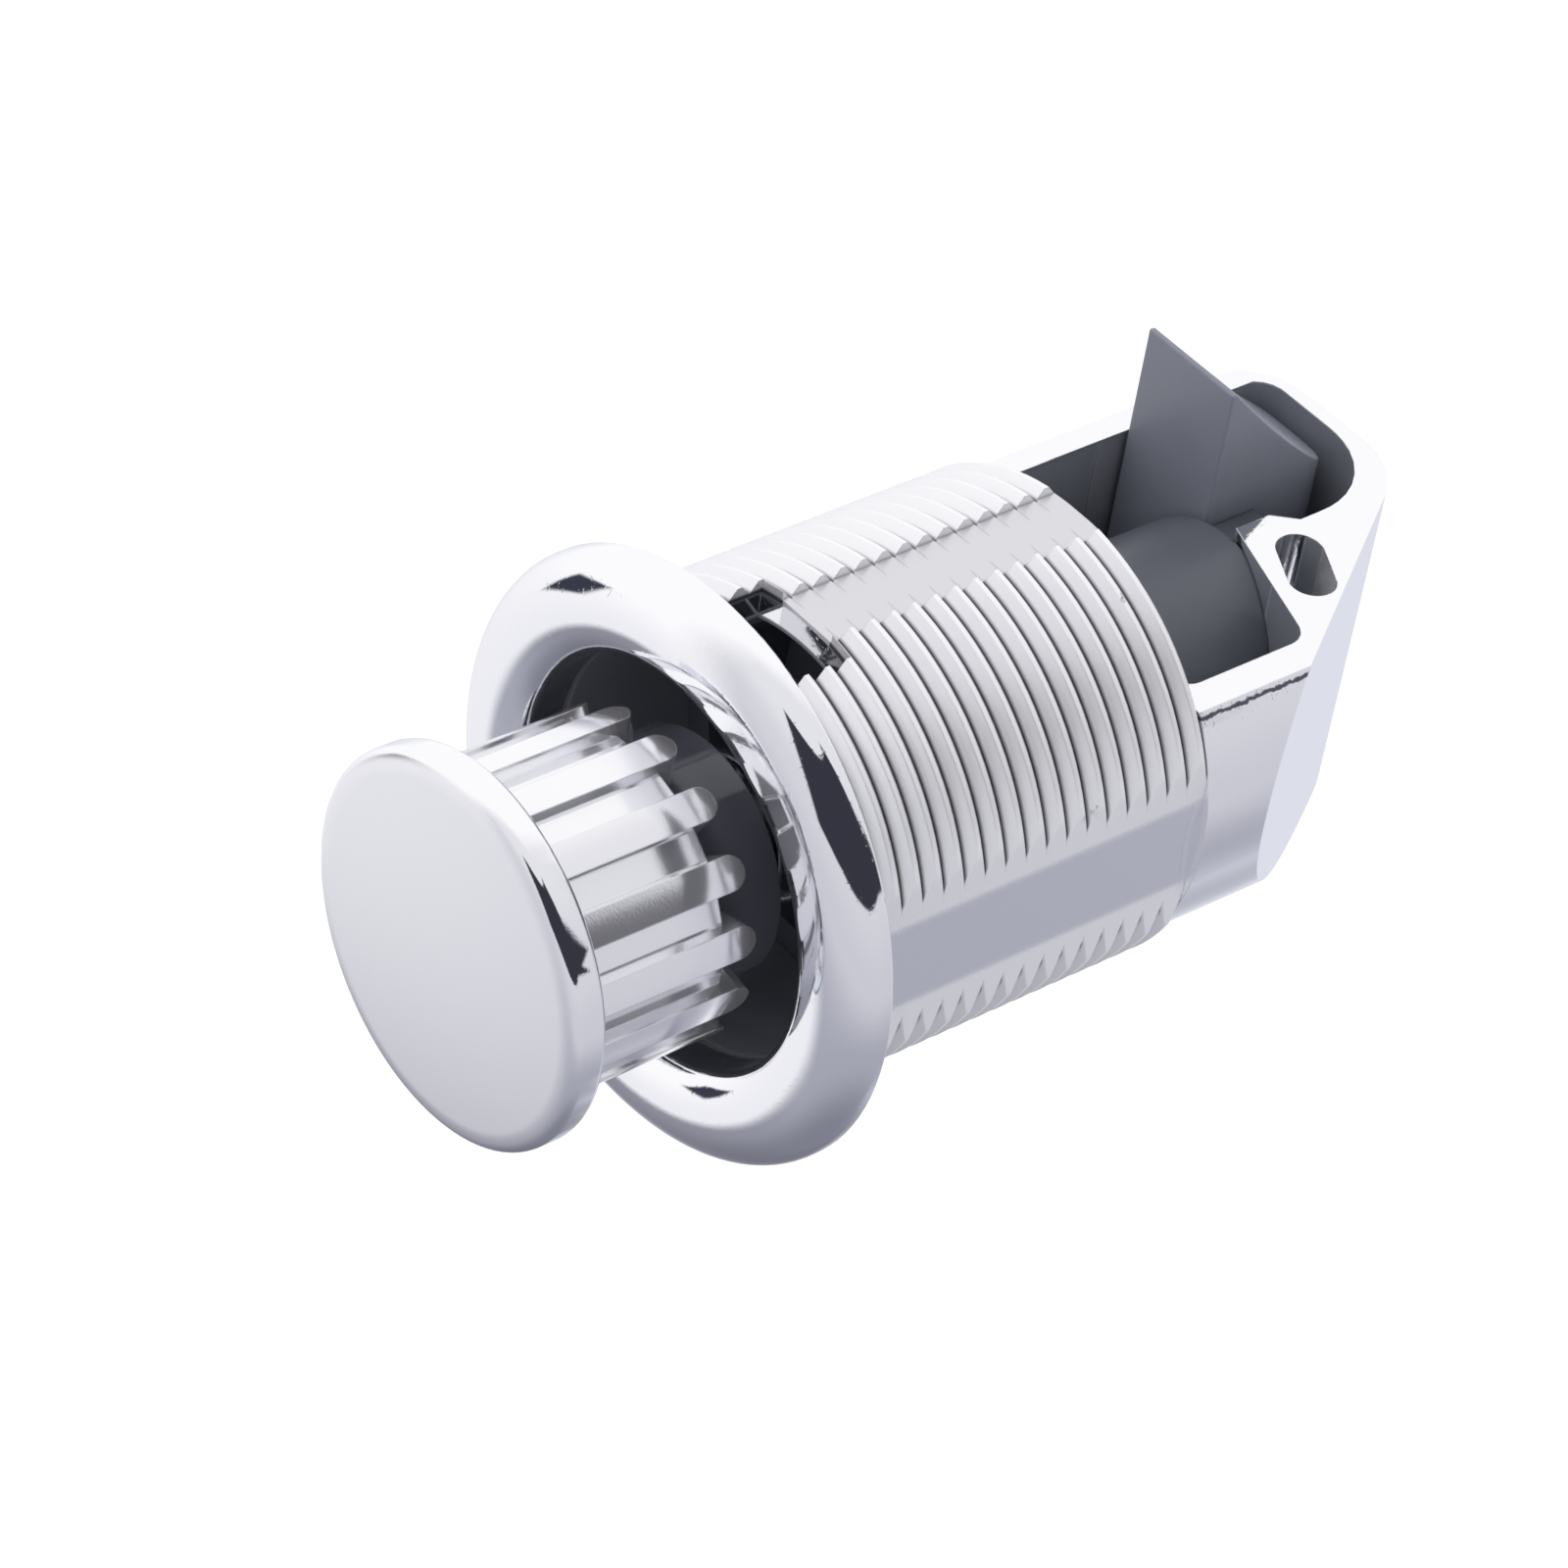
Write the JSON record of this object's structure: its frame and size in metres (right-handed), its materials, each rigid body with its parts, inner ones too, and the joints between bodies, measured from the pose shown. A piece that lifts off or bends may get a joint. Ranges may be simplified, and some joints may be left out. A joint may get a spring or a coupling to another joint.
{
  "type": "pushbutton cabinet latch",
  "caption": "Chrome pushbutton cabinet latch: a fluted button that pops out of a threaded barrel and is pulled to draw back a dark wedge bolt in its tail.",
  "frame": {"origin": "on the barrel's axis, at the rear face of the bezel that rests on the panel", "axes": "+Y along the barrel's axis, from the button towards the tail; +Z the way the bolt points; +X towards the flat on the thread"},
  "size_m": [0.031, 0.0591, 0.031],
  "materials": {
    "chrome": "polished",
    "dark_plastic": "satin",
    "steel": "satin",
    "acetal": "satin"
  },
  "bodies": {
    "barrel_body": {"housing": "chrome", "bolt_spring": "steel"},
    "carriage_body": {"carriage": "dark_plastic", "spring_seat": "dark_plastic", "button_spring": "steel"},
    "button_body": {"button": "chrome", "button_shaft": "steel", "shaft_nut": "steel", "cam_slider": "acetal"},
    "follower_body": {"cam_follower": "steel"},
    "bolt_body": {"bolt": "dark_plastic", "bolt_pin": "steel"}
  },
  "joints": [
    {"name": "pull", "type": "slide", "parent": "barrel_body", "child": "carriage_body", "axis": [0, -1, 0], "range_m": [0, 0.00429]},
    {"name": "press", "type": "slide", "parent": "carriage_body", "child": "button_body", "axis": [0, 1, 0], "range_m": [0, 0.012], "stiffness_N_per_m": 300, "springref_m": -0.01, "deforming": ["button_spring"]},
    {"name": "follower_swing", "type": "hinge", "parent": "carriage_body", "child": "follower_body", "pos_m": [0, 0.0312, -0.0037], "axis": [0, 0, 1], "range_deg": [-6, 6]},
    {"name": "bolt_draw", "type": "slide", "parent": "barrel_body", "child": "bolt_body", "axis": [0, 0, -1], "range_m": [0, 0.0065], "stiffness_N_per_m": 500, "springref_m": -0.006, "deforming": ["bolt_spring"]}
  ],
  "couplings": [
    {"joint": "bolt_draw", "follows": "pull", "ratio": 1.5152}
  ]
}
